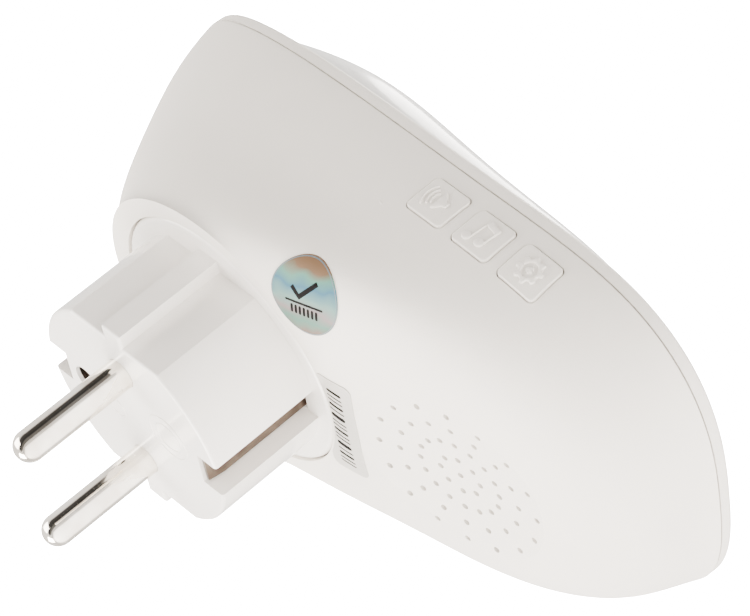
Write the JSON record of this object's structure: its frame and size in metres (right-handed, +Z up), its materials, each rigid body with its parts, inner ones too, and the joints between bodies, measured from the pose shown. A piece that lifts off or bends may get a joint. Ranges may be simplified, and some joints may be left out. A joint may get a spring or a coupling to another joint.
{
  "type": "ultrasonic pest repeller",
  "caption": "Plug-in ultrasonic pest repeller: pear-shaped white casing on an earthed two-pin mains plug, with side push buttons, speaker grille and front light dome.",
  "frame": {"origin": "middle of the plug's front face, where the two pins leave it", "axes": "+Y along the pins towards the wall socket, +Z up as plugged in, +X to the side away from the buttons"},
  "size_m": [0.0604, 0.0809, 0.1112],
  "materials": {
    "casing": "fine satin moulded",
    "cover": "fine satin moulded",
    "dome": "polished translucent white",
    "plug": "glossy moulded white",
    "pin_metal": "bright nickel plate",
    "contact_metal": "nickel-plated brass",
    "carrier": "moulded",
    "screw": "zinc plated",
    "circuit_board": "solder mask",
    "component": "moulded",
    "winding": "taped winding",
    "lead": "insulated",
    "button": "satin moulded",
    "speaker_metal": "pressed",
    "magnet": "ferrite and plated yoke",
    "cone": "film",
    "transducer_metal": "drawn can",
    "light": "clear lens",
    "sticker": "holographic foil",
    "label": "printed film"
  },
  "bodies": {
    "casing": {"rear_housing": "casing", "front_cover": "cover", "light_dome": "dome", "plug_body": "plug", "pin_left": "pin_metal", "pin_right": "pin_metal", "earth_strap": "contact_metal", "earth_sleeve": "contact_metal", "pin_carrier": "carrier", "plug_screws": "screw", "main_board": "circuit_board", "board_screws": "screw", "transformer": "winding", "filter_capacitors": "component", "mains_fuse": "component", "controller_chip": "component", "button_board": "circuit_board", "tactile_switches": "component", "speaker_frame": "speaker_metal", "speaker_magnet": "magnet", "speaker_cone": "cone", "speaker_screws": "screw", "transducer_case": "transducer_metal", "transducer_cone": "transducer_metal", "transducer_holder": "carrier", "light_board": "circuit_board", "light_emitters": "light", "light_screws": "screw", "mains_leads": "lead", "inspection_sticker": "sticker", "serial_label": "label"},
    "volume_button": {"volume_button": "button"},
    "melody_button": {"melody_button": "button"},
    "settings_button": {"settings_button": "button"}
  },
  "joints": [
    {"name": "volume_press", "type": "slide", "parent": "casing", "child": "volume_button", "axis": [1, 0, 0], "range_m": [0, 0.0006], "stiffness_N_per_m": 400, "springref_m": -0.0006},
    {"name": "melody_press", "type": "slide", "parent": "casing", "child": "melody_button", "axis": [1, 0, 0], "range_m": [0, 0.0006], "stiffness_N_per_m": 400, "springref_m": -0.0006},
    {"name": "settings_press", "type": "slide", "parent": "casing", "child": "settings_button", "axis": [1, 0, 0], "range_m": [0, 0.0006], "stiffness_N_per_m": 400, "springref_m": -0.0006}
  ]
}
